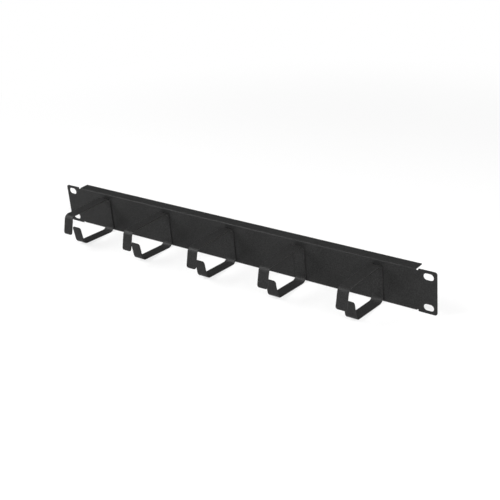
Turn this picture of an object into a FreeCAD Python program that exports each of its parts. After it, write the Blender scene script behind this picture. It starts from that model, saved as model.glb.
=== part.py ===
"""Horizontal cable manager for a 19 inch rack, one unit (1U) high.

A folded sheet-steel panel carries a row of equal cable rings. Each ring is one flat
strap, bent so that its back lies on the panel and its two front tabs pass each other
with a gap between them, through which a cable is laid in.

Frame, in millimetres: +X along the panel, +Z up, -Y towards the cables. The origin is
the centre of the four rack slots, on the rear face of the panel, which seats on the
rack's rails.
"""
import FreeCAD, Part
import math
import os
import Sketcher

SIZES = [
    # alias, value in mm (or a count), what it is
    ("panel_width", 482.6, "over both ears: the 19 inch standard"),
    ("ear_height", 44.4, "just under one rack unit, 44.45"),
    ("ear_width", 19.4, "from the bend relief to the ear's outer end"),
    ("ear_step", 0.4, "an ear's top and bottom edges stand proud of the flanges"),
    ("ear_corner_radius", 2.5, "outer corners of the ears"),
    ("sheet_thickness", 1.0, "steel sheet of the panel"),
    ("flange_depth", 11.8, "front face of the panel to a flange's rear edge"),
    ("fold_radius", 0.5, "inside radius of the flange folds"),
    ("relief_width", 2.3, "bend relief, between a flange's end and the ear"),
    ("relief_corner_radius", 0.7, "corner of the ear beside the relief"),
    ("slot_end_distance", 8.75, "slot centre to the ear's outer end"),
    ("slot_edge_distance", 6.325, "slot centre to the ear's top or bottom edge"),
    ("slot_length", 10.8, "rack slot, end to end"),
    ("slot_width", 7.0, "rack slot, clears an M6 screw"),
    ("ring_count", 5, "cable rings along the panel"),
    ("ring_end_distance", 41.4, "middle of an end ring to the flange's end"),
    ("ring_top_inset", 3.45, "a ring's top face below the top flange"),
    ("ring_overhang", 0.75, "a ring's lower back corner, were it square, below the flange"),
    ("ring_reach", 58.5, "front face of the panel to the outside of the top front bend"),
    ("strap_width", 12.2, "strap of a ring, along the panel"),
    ("strap_thickness", 1.0, "strap of a ring"),
    ("strap_bend_radius", 5.1, "inside radius of the strap's bends"),
    ("bottom_leg_rise", 3.0, "the bottom leg climbs by this towards the front"),
    ("tab_setback", 10.6, "lower front bend behind the top front bend"),
    ("lower_tab_length", 20.0, "height of the lower tab above the bottom leg"),
    ("lower_tab_lean", 2.8, "the lower tab leans forward by this at its tip"),
    ("upper_tab_lean", 5.5, "the upper tab leans forward by this at its tip"),
    ("tab_overlap", 2.9, "height by which the two tabs' tips pass each other"),
    ("tab_corner_radius", 2.6, "rounded corners of the tabs' tips"),
]

# Places that several features share, as expressions on the sheet. "Middle" is halfway
# through the sheet or strap, where a bend path runs.
HALF_PANEL = "(Sizes.panel_width / 2)"
HALF_EAR = "(Sizes.ear_height / 2)"
EAR_INNER = f"({HALF_PANEL} - Sizes.ear_width)"
HALF_CHANNEL = f"({EAR_INNER} - Sizes.relief_width)"
FLANGE_TOP = f"({HALF_EAR} - Sizes.ear_step)"
FLANGE_MIDDLE = f"({FLANGE_TOP} - Sizes.sheet_thickness / 2)"
FLANGE_REAR = "(Sizes.flange_depth - Sizes.sheet_thickness)"
RELIEF_FLOOR = f"({FLANGE_TOP} - Sizes.sheet_thickness - Sizes.fold_radius)"
PANEL_FRONT = "(-Sizes.sheet_thickness)"
WEB_MIDDLE = "(-Sizes.sheet_thickness / 2)"
FOLD_MIDDLE_RADIUS = "(Sizes.fold_radius + Sizes.sheet_thickness / 2)"
SLOT_ACROSS = f"({HALF_PANEL} - Sizes.slot_end_distance)"
SLOT_UP = f"({HALF_EAR} - Sizes.slot_edge_distance)"

END_RING = f"({HALF_CHANNEL} - Sizes.ring_end_distance)"
RING_PITCH = f"(2 * {END_RING} / (Sizes.ring_count - 1))"
HALF_STRAP = "(Sizes.strap_thickness / 2)"
BEND_MIDDLE_RADIUS = f"(Sizes.strap_bend_radius + {HALF_STRAP})"
STRAP_FRONT = f"({PANEL_FRONT} - Sizes.strap_thickness)"
BACK_LEG = f"({PANEL_FRONT} - {HALF_STRAP})"
TOP_LEG = f"({FLANGE_TOP} - Sizes.ring_top_inset - {HALF_STRAP})"
TOP_FRONT = f"({PANEL_FRONT} - Sizes.ring_reach + {HALF_STRAP})"
BOTTOM_LEG = f"(-{FLANGE_TOP} - Sizes.ring_overhang + {HALF_STRAP})"
BOTTOM_LEG_FRONT = f"({BOTTOM_LEG} + Sizes.bottom_leg_rise)"
BOTTOM_FRONT = f"({TOP_FRONT} + Sizes.tab_setback)"
LOWER_TIP = f"({BOTTOM_LEG_FRONT} + Sizes.lower_tab_length)"
UPPER_TIP = f"({LOWER_TIP} - Sizes.tab_overlap)"

document = FreeCAD.newDocument("cable_manager")


# ---------------------------------------------------------------- sketch helpers
def make_sheet():
    """The spreadsheet of driving sizes: value in column A, alias on it, note in B."""
    sheet = document.addObject("Spreadsheet::Sheet", "Sizes")
    for row, (alias, value, note) in enumerate(SIZES, start=1):
        sheet.set(f"A{row}", str(value))
        sheet.setAlias(f"A{row}", alias)
        sheet.set(f"B{row}", note)
    document.recompute()
    return sheet


def value_of(expression):
    """What an expression on the sheet comes to, as a plain number."""
    return float(sheet.evalExpression(expression))


def new_sketch(body, name, plane):
    """A sketch on one of the body's own origin planes."""
    sketch = body.newObject("Sketcher::SketchObject", name)
    support = [item for item in body.Origin.OriginFeatures if item.Role == plane]
    sketch.AttachmentSupport = [(support[0], "")]
    sketch.MapMode = "FlatFace"
    return sketch


def bind(sketch, kind, *items, to):
    """Add one dimension to a sketch and tie it to an expression on the sheet."""
    index = sketch.addConstraint(Sketcher.Constraint(kind, *items, value_of(to)))
    sketch.setExpression(f"Constraints[{index}]", to)


def place_point(sketch, element, position, across, up):
    """Fix one point of an element at the given place, measured from the origin."""
    for kind, axis, expression in (("DistanceX", -2, across), ("DistanceY", -1, up)):
        distance = value_of(expression)
        if distance == 0:
            on_axis = Sketcher.Constraint("PointOnObject", element, position, axis)
            sketch.addConstraint(on_axis)
        elif distance < 0:
            bind(sketch, kind, element, position, -1, 1, to=f"-{expression}")
        else:
            bind(sketch, kind, -1, 1, element, position, to=expression)


def draw_rectangle(sketch, left, bottom, right, top):
    """A closed rectangle between two opposite corners."""
    x0, y0, x1, y1 = (value_of(side) for side in (left, bottom, right, top))
    corners = [(x0, y0), (x1, y0), (x1, y1), (x0, y1)]
    points = [FreeCAD.Vector(x, y, 0) for x, y in corners]
    lines = [sketch.addGeometry(Part.LineSegment(points[side], points[(side + 1) % 4]))
             for side in range(4)]
    for side, line in enumerate(lines):
        follower = lines[(side + 1) % 4]
        direction = "Horizontal" if side % 2 == 0 else "Vertical"
        sketch.addConstraint(Sketcher.Constraint("Coincident", line, 2, follower, 1))
        sketch.addConstraint(Sketcher.Constraint(direction, line))
    place_point(sketch, lines[0], 1, left, bottom)
    place_point(sketch, lines[2], 1, right, top)


def draw_slot(sketch, across, up, length, width):
    """A closed obround slot lying along the sketch's X axis, centred at a point."""
    middle = FreeCAD.Vector(value_of(across), value_of(up), 0)
    radius = value_of(width) / 2
    half_run = value_of(length) / 2 - radius
    rise = FreeCAD.Vector(0, radius, 0)
    right = middle + FreeCAD.Vector(half_run, 0, 0)
    left = middle - FreeCAD.Vector(half_run, 0, 0)
    tip = FreeCAD.Vector(half_run + radius, 0, 0)
    bottom_line = sketch.addGeometry(Part.LineSegment(left - rise, right - rise))
    right_end = sketch.addGeometry(Part.Arc(right - rise, middle + tip, right + rise))
    top_line = sketch.addGeometry(Part.LineSegment(right + rise, left + rise))
    left_end = sketch.addGeometry(Part.Arc(left + rise, middle - tip, left - rise))
    for line, end in ((bottom_line, right_end), (top_line, left_end)):
        sketch.addConstraint(Sketcher.Constraint("Tangent", line, 2, end, 1))
    for end, line in ((right_end, top_line), (left_end, bottom_line)):
        sketch.addConstraint(Sketcher.Constraint("Tangent", end, 2, line, 1))
    sketch.addConstraint(Sketcher.Constraint("Horizontal", bottom_line))
    bind(sketch, "Radius", right_end, to=f"{width} / 2")
    reach = f"({length} / 2 - {width} / 2)"
    place_point(sketch, right_end, 3, f"({across} + {reach})", up)
    place_point(sketch, left_end, 3, f"({across} - {reach})", up)


def draw_bend_path(sketch, start, corners, end, radius):
    """An open path of straight runs, with a tangent arc of one radius at each corner.

    Every place is a pair of expressions. Each corner is kept as a construction point,
    where its two runs would meet.
    """
    places = [start] + corners + [end]
    points = [FreeCAD.Vector(value_of(across), value_of(up), 0) for across, up in places]
    bend = value_of(radius)
    runs, arcs = [], []
    run_start = points[0]
    for before, corner, after in zip(points, points[1:], points[2:]):
        incoming = (corner - before).normalize()
        outgoing = (after - corner).normalize()
        inward = (outgoing - incoming).normalize()
        half_turn = incoming.getAngle(outgoing) / 2
        arc_start = corner - incoming * (bend * math.tan(half_turn))
        arc_end = corner + outgoing * (bend * math.tan(half_turn))
        arc_middle = corner + inward * (bend / math.cos(half_turn) - bend)
        turns_left = incoming.cross(outgoing).z > 0
        runs.append(sketch.addGeometry(Part.LineSegment(run_start, arc_start)))
        arc = sketch.addGeometry(Part.Arc(arc_start, arc_middle, arc_end))
        arcs.append((arc, (1, 2) if turns_left else (2, 1)))
        run_start = arc_end
    runs.append(sketch.addGeometry(Part.LineSegment(run_start, points[-1])))

    for number, (arc, (first, last)) in enumerate(arcs):
        incoming, outgoing = runs[number], runs[number + 1]
        sketch.addConstraint(Sketcher.Constraint("Tangent", incoming, 2, arc, first))
        sketch.addConstraint(Sketcher.Constraint("Tangent", arc, last, outgoing, 1))
        bind(sketch, "Radius", arc, to=radius)
        corner = sketch.addGeometry(Part.Point(points[number + 1]), True)
        for run in (incoming, outgoing):
            sketch.addConstraint(Sketcher.Constraint("PointOnObject", corner, 1, run))
        place_point(sketch, corner, 1, *corners[number])
    place_point(sketch, runs[0], 1, *start)
    place_point(sketch, runs[-1], 2, *end)


# --------------------------------------------------------------- feature helpers
def bent_strip(body, name, section, path):
    """Sweep a strip's section along a bend path."""
    document.recompute()
    pipe = body.newObject("PartDesign::AdditivePipe", name)
    pipe.Profile = section
    edges = [f"Edge{number}" for number in range(1, len(path.Shape.Edges) + 1)]
    pipe.Spine = (path, edges)
    document.recompute()


def extrude_forward(body, name, outline):
    """Raise a flat outline by the sheet's thickness, from the rear face to the front."""
    pad = body.newObject("PartDesign::Pad", name)
    pad.Profile = outline
    pad.setExpression("Length", "Sizes.sheet_thickness")
    document.recompute()


def edges_where(feature, test):
    """Names of the feature's edges that pass a test."""
    return [f"Edge{number}" for number, edge in enumerate(feature.Shape.Edges, start=1)
            if test(edge)]


def round_edges(body, name, test, radius):
    """Fillet the edges of the body's tip that pass a test."""
    base = body.Tip
    fillet = body.newObject("PartDesign::Fillet", name)
    fillet.Base = (base, edges_where(base, test))
    fillet.setExpression("Radius", radius)
    document.recompute()


def runs_along(edge, axis):
    """Whether an edge is a straight line along an axis."""
    if edge.Curve.TypeId != "Part::GeomLine":
        return False
    return abs(edge.Curve.Direction.dot(axis)) > 0.9999


# ------------------------------------------------------------------------ pieces
ALONG = FreeCAD.Vector(1, 0, 0)
DEPTH = FreeCAD.Vector(0, 1, 0)
NEAR = 1e-4  # mm, for telling edges apart by their place or length


def make_panel():
    """Folded sheet: a channel with both flanges turned back, and a flat ear each end."""
    body = document.addObject("PartDesign::Body", "rack_panel")
    body.Label = "rack_panel"

    section = new_sketch(body, "panel_section", "XY_Plane")
    draw_rectangle(section, f"-{HALF_CHANNEL}", PANEL_FRONT, HALF_CHANNEL, "0")
    for side, height in (("top", FLANGE_MIDDLE), ("bottom", f"-{FLANGE_MIDDLE}")):
        path = new_sketch(body, f"{side}_fold_path", "YZ_Plane")
        draw_bend_path(path, (WEB_MIDDLE, "0"), [(WEB_MIDDLE, height)],
                       (FLANGE_REAR, height), FOLD_MIDDLE_RADIUS)
        bent_strip(body, f"{side}_flange", section, path)

    web = new_sketch(body, "web_outline", "XZ_Plane")
    draw_rectangle(web, f"-{HALF_PANEL}", f"-{RELIEF_FLOOR}", HALF_PANEL, RELIEF_FLOOR)
    extrude_forward(body, "web", web)

    ears = new_sketch(body, "ear_outlines", "XZ_Plane")
    draw_rectangle(ears, EAR_INNER, f"-{HALF_EAR}", HALF_PANEL, HALF_EAR)
    draw_rectangle(ears, f"-{HALF_PANEL}", f"-{HALF_EAR}", f"-{EAR_INNER}", HALF_EAR)
    extrude_forward(body, "ears", ears)

    slots = new_sketch(body, "slot_outlines", "XZ_Plane")
    for across in (f"-{SLOT_ACROSS}", SLOT_ACROSS):
        for up in (f"-{SLOT_UP}", SLOT_UP):
            draw_slot(slots, across, up, "Sizes.slot_length", "Sizes.slot_width")
    pocket = body.newObject("PartDesign::Pocket", "rack_slots")
    pocket.Profile = slots
    pocket.Type = "ThroughAll"
    pocket.Midplane = True
    document.recompute()

    def on_ear_corner(edge, across):
        """Whether an edge is an ear's corner at this distance from the middle."""
        middle = edge.CenterOfMass
        is_there = abs(abs(middle.x) - value_of(across)) < NEAR
        is_above_web = abs(middle.z) > value_of(FLANGE_TOP)
        return runs_along(edge, DEPTH) and is_there and is_above_web

    round_edges(body, "ear_corners", lambda edge: on_ear_corner(edge, HALF_PANEL),
                "Sizes.ear_corner_radius")
    round_edges(body, "relief_corners", lambda edge: on_ear_corner(edge, EAR_INNER),
                "Sizes.relief_corner_radius")
    return body


def make_ring(number):
    """One cable ring: a flat strap bent round, its front tabs passing each other."""
    body = document.addObject("PartDesign::Body", f"cable_ring_{number}")
    body.Label = f"cable_ring_{number}"

    section = new_sketch(body, f"strap_section_{number}", "XY_Plane")
    half_width = "(Sizes.strap_width / 2)"
    draw_rectangle(section, f"-{half_width}", STRAP_FRONT, half_width, PANEL_FRONT)

    upper_corners = [(BACK_LEG, TOP_LEG), (TOP_FRONT, TOP_LEG)]
    upper_tip = (f"({TOP_FRONT} - Sizes.upper_tab_lean)", UPPER_TIP)
    lower_corners = [(BACK_LEG, BOTTOM_LEG), (BOTTOM_FRONT, BOTTOM_LEG_FRONT)]
    lower_tip = (f"({BOTTOM_FRONT} - Sizes.lower_tab_lean)", LOWER_TIP)
    for half, corners, tip in (("upper", upper_corners, upper_tip),
                               ("lower", lower_corners, lower_tip)):
        path = new_sketch(body, f"{half}_path_{number}", "YZ_Plane")
        draw_bend_path(path, (BACK_LEG, "0"), corners, tip, BEND_MIDDLE_RADIUS)
        bent_strip(body, f"{half}_strap_{number}", section, path)

    def on_tip(edge):
        """Whether an edge is a corner of a tab's tip: it runs through the strap."""
        is_through = abs(edge.Length - value_of("Sizes.strap_thickness")) < NEAR
        return is_through and not runs_along(edge, ALONG)

    round_edges(body, f"tab_corners_{number}", on_tip, "Sizes.tab_corner_radius")
    place = f"({number} - 1) * {RING_PITCH} - {END_RING}"
    body.setExpression("Placement.Base.x", place)
    document.recompute()
    return body


# ------------------------------------------------------------------------- build
sheet = make_sheet()
pieces = [make_panel()]
for ring in range(1, int(value_of("Sizes.ring_count")) + 1):
    pieces.append(make_ring(ring))
document.recompute()

for item in document.Objects:
    if "Invalid" in item.State or "Error" in item.State:
        raise RuntimeError(f"{item.Name} failed: {item.State}")
for piece in pieces:
    if piece.Shape.isNull() or not piece.Shape.isValid():
        raise RuntimeError(f"{piece.Label} has no valid shape")

os.makedirs("parts", exist_ok=True)
for piece in pieces:
    piece.Shape.exportStep(f"parts/{piece.Label}.step")
    box = piece.Shape.BoundBox
    print(f"{piece.Label}: {piece.Shape.Volume / 1000:.3f} cm3, "
          f"{box.XLength:.1f} x {box.YLength:.1f} x {box.ZLength:.1f} mm")
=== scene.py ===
# %% [markdown]
# # A horizontal cable manager in black powder coat
#
# The object is a one-unit panel for a 19 inch rack: a folded steel sheet with two slotted ears, and five
# rings of bent steel strap that carry patch cables in front of it. The CAD frame already holds every
# piece at its exact size, so the work in Blender is what paint and light do to it.

# %% Load the frame
import math

import bmesh
import bpy
import numpy as np
from mathutils import Matrix, Vector


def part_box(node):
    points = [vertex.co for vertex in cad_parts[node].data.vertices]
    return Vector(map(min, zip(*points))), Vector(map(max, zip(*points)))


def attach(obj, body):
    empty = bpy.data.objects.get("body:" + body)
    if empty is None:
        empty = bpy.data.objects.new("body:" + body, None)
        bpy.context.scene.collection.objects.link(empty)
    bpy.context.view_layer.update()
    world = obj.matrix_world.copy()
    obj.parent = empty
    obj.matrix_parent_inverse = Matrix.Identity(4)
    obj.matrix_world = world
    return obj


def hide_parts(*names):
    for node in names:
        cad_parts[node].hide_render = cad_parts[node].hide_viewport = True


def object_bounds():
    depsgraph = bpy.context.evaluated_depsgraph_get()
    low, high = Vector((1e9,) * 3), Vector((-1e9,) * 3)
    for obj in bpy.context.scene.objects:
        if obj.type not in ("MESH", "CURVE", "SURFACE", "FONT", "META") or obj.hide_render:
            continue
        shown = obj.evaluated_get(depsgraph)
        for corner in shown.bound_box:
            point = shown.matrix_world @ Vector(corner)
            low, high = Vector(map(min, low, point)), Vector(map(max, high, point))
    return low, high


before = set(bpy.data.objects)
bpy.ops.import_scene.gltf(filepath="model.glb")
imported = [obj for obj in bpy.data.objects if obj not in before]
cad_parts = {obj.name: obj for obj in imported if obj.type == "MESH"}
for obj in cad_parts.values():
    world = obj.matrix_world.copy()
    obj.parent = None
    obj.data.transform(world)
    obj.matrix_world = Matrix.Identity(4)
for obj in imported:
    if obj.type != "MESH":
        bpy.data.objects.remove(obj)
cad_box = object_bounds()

MM = 0.001  # one millimetre in Blender's metres
print("pieces:", sorted(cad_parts))
print("CAD box in mm:", [[round(value / MM, 2) for value in corner] for corner in cad_box])

# %% [markdown]
# ## Edges with paint on them
#
# The blanks of the panel and the rings are punched, and the coat then draws back from each cut edge and
# leaves it round, with a radius of about a fifth of a millimetre. That thin round edge catches a line of
# light, and it is what tells the eye that a black part is made of sheet. A Bevel node in the material
# could fake it, but it would be lost in the mesh, so the edges are rounded in the mesh itself. A CAD
# piece's mesh is loose triangles, which can't be bevelled. Each piece gets a copy with its corners merged
# and its flat faces whole, and that copy is rounded and stands in for the CAD piece.

# %% Round the edges of a copy
EDGE_RADIUS = 0.2 * MM
EDGE_STEPS = 3
SAME_CORNER = 0.001 * MM
FLAT_ANGLE = math.radians(0.5)   # facets that turn by less lie in one flat face
SHARP_ANGLE = math.radians(40)   # cut edges turn by 90 degrees, the facets of a bend by a few
FLAT_FACE_WEIGHT = 100           # the most that a large face can bend the normals its way


def rounded_shape(node):
    """A CAD piece's shape as one closed bmesh of whole faces, with every cut edge rounded."""
    shape = bmesh.new()
    shape.from_mesh(node.data)
    bmesh.ops.remove_doubles(shape, verts=shape.verts, dist=SAME_CORNER)
    bmesh.ops.dissolve_limit(shape, angle_limit=FLAT_ANGLE, verts=shape.verts, edges=shape.edges)
    cut_edges = [edge for edge in shape.edges if edge.calc_face_angle() > SHARP_ANGLE]
    bmesh.ops.bevel(shape, geom=cut_edges, offset=EDGE_RADIUS, segments=EDGE_STEPS, profile=0.5,
                    affect="EDGES", clamp_overlap=True)
    return shape


def finished_piece(shape, name, node):
    """A smooth-shaded object from a bmesh, which rides on the body and stands for a CAD node."""
    mesh = bpy.data.meshes.new(name)
    shape.to_mesh(mesh)
    shape.free()
    for leftover in ("custom_normal", "sharp_face", "sharp_edge"):
        if leftover in mesh.attributes:
            mesh.attributes.remove(mesh.attributes[leftover])
    mesh.shade_smooth()
    piece = bpy.data.objects.new(name, mesh)
    bpy.context.scene.collection.objects.link(piece)
    normals = piece.modifiers.new("flat_faces_stay_flat", "WEIGHTED_NORMAL")
    normals.mode = "FACE_AREA"
    normals.weight = FLAT_FACE_WEIGHT
    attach(piece, "root")
    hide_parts(node.name)
    print(name, "has", len(mesh.polygons), "faces")
    return piece


# %% The rings
ring_nodes = [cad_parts[name] for name in sorted(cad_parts) if name.startswith("cable_ring_")]
rings = [finished_piece(rounded_shape(node), node.name.replace("cable", "painted"), node)
         for node in ring_nodes]

# %% [markdown]
# ## Weld marks on the back of the panel
#
# Each ring is spot-welded to the panel through its back leg, above and below the middle. The welder's tip
# presses on the back of the sheet while it is soft and leaves a round dent with a low lip around it, and
# the coat covers both. A dent is a surface of revolution, so it is worked out as a grid of distances and
# angles. The flat back face is taken out, the dents are laid in its plane, and the rest of the plane is
# filled in again around them.

# %% The shape of a weld mark
WELD_HEIGHTS = (6.85 * MM, -11.05 * MM)  # on the straight of the back leg, clear of its two bends
DENT_RADIUS = 3.4 * MM
DENT_DEPTH = 0.15 * MM
LIP_HEIGHT = 0.03 * MM
WALL_FROM, WALL_TO = 0.35, 0.75  # where the dent's wall starts and ends, as shares of the radius
LIP_FROM = 0.60                  # where the lip starts: it ends at the rim
DENT_RINGS = 12                  # rings of points from the centre to the rim
DENT_SPOKES = 36                 # points in each ring


def dent_height(share):
    """Height of the surface over the sheet, from the centre of a dent, share 0, to its rim, share 1.

    The floor is flat, the wall is half a cosine wave, and a lip, a squared sine wave, stands around it
    and ends flush with the sheet.
    """
    wall = np.clip((share - WALL_FROM) / (WALL_TO - WALL_FROM), 0, 1)
    lip = np.clip((share - LIP_FROM) / (1 - LIP_FROM), 0, 1)
    return LIP_HEIGHT * np.sin(np.pi * lip) ** 2 - DENT_DEPTH * (0.5 + 0.5 * np.cos(np.pi * wall))


def weld_marks(centres):
    """Dents in the plane y = 0 as one mesh, each a fan of triangles inside rings of quads.

    A dent's points are a grid over share and angle: x and z are the radius times the share times the
    angle's cosine and sine, and y is dent_height(share). Each centre moves a copy of that grid.
    """
    share, angle = np.meshgrid(np.arange(1, DENT_RINGS + 1) / DENT_RINGS,
                               2 * np.pi * np.arange(DENT_SPOKES) / DENT_SPOKES, indexing="ij")
    disc = np.stack([DENT_RADIUS * share * np.cos(angle), dent_height(share),
                     DENT_RADIUS * share * np.sin(angle)], axis=-1).reshape(-1, 3)
    disc = np.vstack([disc, [0, -DENT_DEPTH, 0]])
    points = (np.array(centres)[:, None, :] + disc).reshape(-1, 3)

    number = np.arange(DENT_RINGS * DENT_SPOKES).reshape(DENT_RINGS, DENT_SPOKES)
    following = np.roll(number, -1, axis=1)
    fan = np.stack([following[0], number[0], np.full(DENT_SPOKES, number.size)], axis=-1)
    quads = np.stack([number[:-1], following[:-1], following[1:], number[1:]], axis=-1).reshape(-1, 4)
    first = len(disc) * np.arange(len(centres))[:, None, None]
    mesh = bpy.data.meshes.new("weld_marks")
    mesh.from_pydata(points.tolist(), [],
                     (fan + first).reshape(-1, 3).tolist() + (quads + first).reshape(-1, 4).tolist())
    return mesh


# %% The panel with its weld marks
FACES_BACK = 0.9999  # a face whose normal has this much of +Y looks straight back
panel_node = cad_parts["rack_panel"]
shape = rounded_shape(panel_node)
back_face = [face for face in shape.faces
             if face.normal.y > FACES_BACK and abs(face.calc_center_median().y) < SAME_CORNER]
bmesh.ops.delete(shape, geom=back_face, context="FACES_KEEP_BOUNDARY")
ring_boxes = [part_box(node.name) for node in ring_nodes]
marks = weld_marks([((low[0] + high[0]) / 2, 0, height)
                    for low, high in ring_boxes for height in WELD_HEIGHTS])
shape.from_mesh(marks)
bpy.data.meshes.remove(marks)
rims = [edge for edge in shape.edges if edge.is_boundary]
bmesh.ops.triangle_fill(shape, use_beauty=True, use_dissolve=False, edges=rims, normal=(0, 1, 0))
bmesh.ops.recalc_face_normals(shape, faces=shape.faces)
print("weld marks:", len(ring_nodes) * len(WELD_HEIGHTS), "open edges left:",
      sum(edge.is_boundary for edge in shape.edges))
panel = finished_piece(shape, "painted_panel", panel_node)

# %% [markdown]
# ## Helpers for materials
#
# A material's colour is easiest to read as the hex value that a screen shows, but Blender computes with
# linear light. One function turns the first into the second, and one adds a node, sets its values and
# makes its links, so that each material below is a short list of steps.


# %% Colour and node helpers
def linear(hex_colour):
    """An sRGB hex colour as linear red, green, blue and alpha, by the sRGB curve."""
    parts = np.array([int(hex_colour[place:place + 2], 16) for place in (1, 3, 5)]) / 255
    low = parts / 12.92
    high = ((parts + 0.055) / 1.055) ** 2.4
    return (*np.where(parts <= 0.04045, low, high).tolist(), 1.0)


def add_node(tree, kind, settings=None, inputs=None):
    """Add one node: settings are its own properties, inputs are values or sockets to link."""
    node = tree.nodes.new(kind)
    for name, value in (settings or {}).items():
        setattr(node, name, value)
    for name, value in (inputs or {}).items():
        if isinstance(value, bpy.types.NodeSocket):
            tree.links.new(value, node.inputs[name])
        else:
            node.inputs[name].default_value = value
    return node


def new_material(name):
    """An empty node material, its tree and its output node."""
    material = bpy.data.materials.new(name)
    material.use_nodes = True
    tree = material.node_tree
    tree.nodes.clear()
    output = add_node(tree, "ShaderNodeOutputMaterial")
    return material, tree, output


# %% [markdown]
# ## Black powder coat
#
# The whole object is steel in matte black polyester powder coat with a fine texture. The powder is sprayed
# on dry and baked, so it melts into a skin of tiny grains over a gentle orange peel. The skin scatters
# light widely, which gives the eye a soft sheen on the bends and a faint speckle on the flats, and no
# clear reflection anywhere.

# %% Powder coat
COAT_BLACK = "#2a2a2a"
COAT_IOR = 1.5
COAT_ROUGHNESS = 0.40
COAT_SPECULAR = 0.09  # smooth paint has 0.5, but the fine texture swallows most of its reflection
GRAIN = 1.2 * MM  # real grains are about 0.3 mm: drawn coarser, so that they show at all
PEEL = 3.5 * MM   # orange peel, from crest to crest
CLOUD = 30 * MM   # where the coat is a little thicker or thinner
GRAIN_HEIGHT = 0.14 * MM
GRAIN_STRENGTH = 0.8
PEEL_HEIGHT = 0.04 * MM
PEEL_STRENGTH = 0.5
SPECKLE = 0.35    # how much darker and lighter the grains are than the colour
UNEVEN_TONE = 0.06   # how far the colour drifts over a cloud, as a share of it
UNEVEN_GLOSS = 0.03  # and the roughness
NOISE_SPAN = {"From Min": 0.3, "From Max": 0.7}  # where most of a noise texture's values lie


def powder_coat(name):
    """Matte textured powder coat: a grainy height, and slightly uneven tone and gloss."""
    material, tree, output = new_material(name)
    place = add_node(tree, "ShaderNodeTexCoord").outputs["Object"]
    grain = add_node(tree, "ShaderNodeTexNoise", inputs={
        "Vector": place, "Scale": 1 / GRAIN, "Detail": 2.0, "Roughness": 0.6})
    peel = add_node(tree, "ShaderNodeTexNoise", inputs={
        "Vector": place, "Scale": 1 / PEEL, "Detail": 1.0})
    cloud = add_node(tree, "ShaderNodeTexNoise", inputs={
        "Vector": place, "Scale": 1 / CLOUD, "Detail": 3.0})
    fine = add_node(tree, "ShaderNodeBump", inputs={
        "Height": grain.outputs["Fac"], "Distance": GRAIN_HEIGHT, "Strength": GRAIN_STRENGTH})
    skin = add_node(tree, "ShaderNodeBump", inputs={
        "Height": peel.outputs["Fac"], "Distance": PEEL_HEIGHT, "Strength": PEEL_STRENGTH,
        "Normal": fine.outputs["Normal"]})
    tone = add_node(tree, "ShaderNodeMapRange", inputs={
        "Value": cloud.outputs["Fac"], "To Min": 1 - UNEVEN_TONE, "To Max": 1 + UNEVEN_TONE, **NOISE_SPAN})
    speckle = add_node(tree, "ShaderNodeMapRange", inputs={
        "Value": grain.outputs["Fac"], "To Min": 1 - SPECKLE, "To Max": 1 + SPECKLE, **NOISE_SPAN})
    shade = add_node(tree, "ShaderNodeMath", {"operation": "MULTIPLY"}, {
        0: tone.outputs["Result"], 1: speckle.outputs["Result"]})
    tint = add_node(tree, "ShaderNodeMix", {"data_type": "RGBA", "blend_type": "MULTIPLY"}, {
        0: 1.0, 6: linear(COAT_BLACK), 7: shade.outputs["Value"]})
    gloss = add_node(tree, "ShaderNodeMapRange", inputs={
        "Value": cloud.outputs["Fac"], "To Min": COAT_ROUGHNESS - UNEVEN_GLOSS,
        "To Max": COAT_ROUGHNESS + UNEVEN_GLOSS, **NOISE_SPAN})
    surface = add_node(tree, "ShaderNodeBsdfPrincipled", inputs={
        "Base Color": tint.outputs[2], "Roughness": gloss.outputs["Result"], "IOR": COAT_IOR,
        "Specular IOR Level": COAT_SPECULAR, "Normal": skin.outputs["Normal"]})
    tree.links.new(surface.outputs["BSDF"], output.inputs["Surface"])
    return material


panel.data.materials.clear()
panel.data.materials.append(powder_coat("black_powder_coat_on_sheet"))
ring_coat = powder_coat("black_powder_coat_on_strap")
for ring in rings:
    ring.data.materials.clear()
    ring.data.materials.append(ring_coat)

# %% [markdown]
# ## Floor
#
# The part stands on a plain pale floor, as on a studio's roll of paper, so wide that its far edge is on
# the horizon. A floor that is only lit never renders quite white, so rays from the camera and from glossy
# surfaces see it mostly as a plain white glow, with a share of the lit floor mixed in: that share carries
# the object's soft shadow, and it fades out a little way off, where no shadow falls. The light that the
# floor throws back on the object is that of pale grey paper.

# %% Floor
FLOOR_HALF = 30.0  # metres from the middle to an edge
floor_level = cad_box[0][2]
corners = [(x * FLOOR_HALF, y * FLOOR_HALF, floor_level) for x, y in ((-1, -1), (1, -1), (1, 1), (-1, 1))]
floor_mesh = bpy.data.meshes.new("floor")
floor_mesh.from_pydata(corners, [], [(0, 1, 2, 3)])
floor = bpy.data.objects.new("floor", floor_mesh)
bpy.context.scene.collection.objects.link(floor)
print("floor at", round(floor_level / MM, 2), "mm")

# %% The floor's glow and shadow
FLOOR_COLOUR = "#b8b8b8"
GLOW_LEVEL = 1.0    # the glow's brightness, where 1 renders white
SHADOW_SHARE = 0.3  # how much of the lit floor shows beside the object
SHADOW_REACH = 0.8  # metres from the object, past which only the glow shows


def seen_directly(tree):
    """A socket that is 1 for rays from the camera, from gloss and through clear parts, and 0 for others."""
    path = add_node(tree, "ShaderNodeLightPath")
    camera_or_gloss = add_node(tree, "ShaderNodeMath", {"operation": "MAXIMUM"}, {
        0: path.outputs["Is Camera Ray"], 1: path.outputs["Is Glossy Ray"]})
    direct = add_node(tree, "ShaderNodeMath", {"operation": "MAXIMUM"}, {
        0: camera_or_gloss.outputs["Value"], 1: path.outputs["Is Transmission Ray"]})
    return direct.outputs["Value"]


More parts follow.
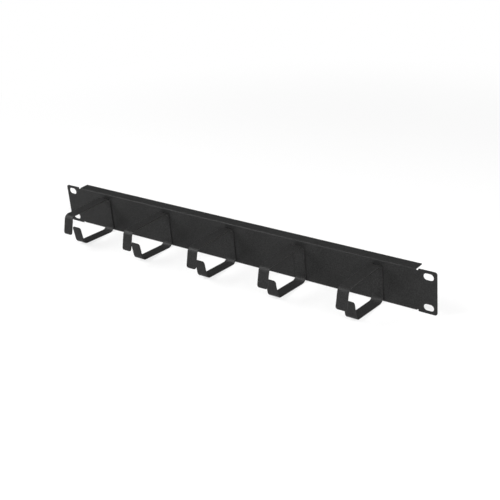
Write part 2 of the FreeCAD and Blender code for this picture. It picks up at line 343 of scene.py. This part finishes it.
material, tree, output = new_material("pale_studio_floor")
paper = add_node(tree, "ShaderNodeBsdfDiffuse", inputs={"Color": linear(FLOOR_COLOUR)})
lit = add_node(tree, "ShaderNodeBsdfDiffuse", inputs={"Color": linear("#ffffff")})
glow = add_node(tree, "ShaderNodeEmission", inputs={"Color": linear("#ffffff"), "Strength": GLOW_LEVEL})
place = add_node(tree, "ShaderNodeTexCoord").outputs["Object"]
away = add_node(tree, "ShaderNodeVectorMath", {"operation": "LENGTH"}, {0: place})
share = add_node(tree, "ShaderNodeMapRange", {"interpolation_type": "SMOOTHSTEP"}, {
    "Value": away.outputs["Value"], "From Min": SHADOW_REACH / 2, "From Max": SHADOW_REACH,
    "To Min": SHADOW_SHARE, "To Max": 0.0})
seen = add_node(tree, "ShaderNodeMixShader", inputs={
    0: share.outputs["Result"], 1: glow.outputs["Emission"], 2: lit.outputs["BSDF"]})
whole = add_node(tree, "ShaderNodeMixShader", inputs={
    0: seen_directly(tree), 1: paper.outputs["BSDF"], 2: seen.outputs["Shader"]})
tree.links.new(whole.outputs["Shader"], output.inputs["Surface"])
floor_mesh.materials.append(material)

# %% [markdown]
# ## World
#
# The room around the floor is a studio with dark walls, so that the black coat has something dark to
# mirror and keeps its depth. Low over the horizon the white of the floor goes on for a few degrees, as a
# sweep curves up behind an object, and then it falls off softly to the dark of the walls. Surfaces that
# scatter light get only a little from the room: the lamps do that work.

# %% World
ROOM_FILL = 0.02  # what the room throws on the object
ROOM_SEEN = 0.05  # how bright its walls look
HORIZON_LOW, HORIZON_TOP = math.radians(1.5), math.radians(9)  # white below, the dark walls above
world = bpy.data.worlds.new("studio")
bpy.context.scene.world = world
world.use_nodes = True
tree = world.node_tree
tree.nodes.clear()
direction = add_node(tree, "ShaderNodeTexCoord").outputs["Generated"]
height = add_node(tree, "ShaderNodeSeparateXYZ", inputs={"Vector": direction})
band = add_node(tree, "ShaderNodeMapRange", {"interpolation_type": "SMOOTHSTEP"}, {
    "Value": height.outputs["Z"], "From Min": math.sin(HORIZON_LOW), "From Max": math.sin(HORIZON_TOP),
    "To Min": GLOW_LEVEL, "To Max": ROOM_SEEN})
strength = add_node(tree, "ShaderNodeMapRange", inputs={
    "Value": seen_directly(tree), "To Min": ROOM_FILL, "To Max": band.outputs["Result"]})
room = add_node(tree, "ShaderNodeBackground", inputs={
    "Color": linear("#ffffff"), "Strength": strength.outputs["Result"]})
add_node(tree, "ShaderNodeOutputWorld", inputs={"Surface": room.outputs["Background"]})

# %% [markdown]
# ## Lamps
#
# A black part shows its form by reflections more than by shade, so the lamps are placed by what each
# surface mirrors. The key lamp stands high on the left, where the folds and bends mirror it as a soft
# bright line. A second lamp in front fills the faces, a third on the right lights the cut edges on that
# side, and one behind keeps the back of the panel readable. The key lamp and the one on the right stand
# near, so each end of the long panel is lit mostly from its own side. The flat tops mirror a low lamp
# when they are seen at a slant from the other side, and vanish in its glare, so each lamp stands high
# enough, and is large enough, to keep that glare faint.


# %% Soft lamps
def soft_lamp(name, azimuth, elevation, distance, size, level):
    """A square lamp that faces the object: azimuth 0 is in front, and positive is to the right.

    The level is how bright a white card at the object renders when it faces the lamp, with 1 for white:
    a lamp of power P at a distance d gives the card P / (pi d)^2.
    """
    data = bpy.data.lights.new(name, "AREA")
    data.shape = "SQUARE"
    data.size = size
    data.energy = level * (math.pi * distance) ** 2
    lamp = bpy.data.objects.new(name, data)
    around, above = math.radians(azimuth), math.radians(elevation)
    toward = Vector((math.sin(around) * math.cos(above),
                     -math.cos(around) * math.cos(above), math.sin(above)))
    lamp.matrix_world = (Matrix.Translation(toward * distance)
                         @ toward.to_track_quat("Z", "Y").to_matrix().to_4x4())
    bpy.context.scene.collection.objects.link(lamp)
    print(name, "has", round(data.energy, 1), "watts")


soft_lamp("key_lamp", azimuth=-56, elevation=42, distance=1.4, size=0.8, level=0.91)
soft_lamp("front_lamp", azimuth=-42, elevation=26, distance=2.0, size=1.0, level=0.17)
soft_lamp("side_lamp", azimuth=65, elevation=28, distance=1.1, size=0.8, level=1.15)
soft_lamp("back_lamp", azimuth=152, elevation=18, distance=3.0, size=2.0, level=0.42)

# %% [markdown]
# ## Camera
#
# The camera looks down on the part from the front right through a long lens, and is turned a little about
# its own axis. Its place is worked out from the point that it aims at, two angles and a distance.

# %% Camera
CAMERA_AZIMUTH = math.radians(39.42)
CAMERA_ELEVATION = math.radians(25.35)
CAMERA_ROLL = math.radians(-5.12)
CAMERA_DISTANCE = 1.0838  # metres
CAMERA_AIM = Vector((18.12, 8.60, -8.63)) * MM
LENS = 74.64       # millimetres
SENSOR_WIDTH = 36  # millimetres

back = Vector((math.sin(CAMERA_AZIMUTH) * math.cos(CAMERA_ELEVATION),
               -math.cos(CAMERA_AZIMUTH) * math.cos(CAMERA_ELEVATION),
               math.sin(CAMERA_ELEVATION)))
level = Vector((math.cos(CAMERA_AZIMUTH), math.sin(CAMERA_AZIMUTH), 0))
upright = back.cross(level)
right = level * math.cos(CAMERA_ROLL) + upright * math.sin(CAMERA_ROLL)
up = upright * math.cos(CAMERA_ROLL) - level * math.sin(CAMERA_ROLL)
camera_data = bpy.data.cameras.new("camera")
camera_data.lens = LENS
camera_data.sensor_width = SENSOR_WIDTH
camera = bpy.data.objects.new("camera", camera_data)
turn = Matrix((right, up, back)).transposed().to_4x4()
camera.matrix_world = Matrix.Translation(CAMERA_AIM + back * CAMERA_DISTANCE) @ turn
bpy.context.scene.collection.objects.link(camera)
bpy.context.scene.camera = camera
bpy.context.scene.view_settings.view_transform = "Standard"
print("camera at", [round(value, 3) for value in camera.matrix_world.translation], "metres")
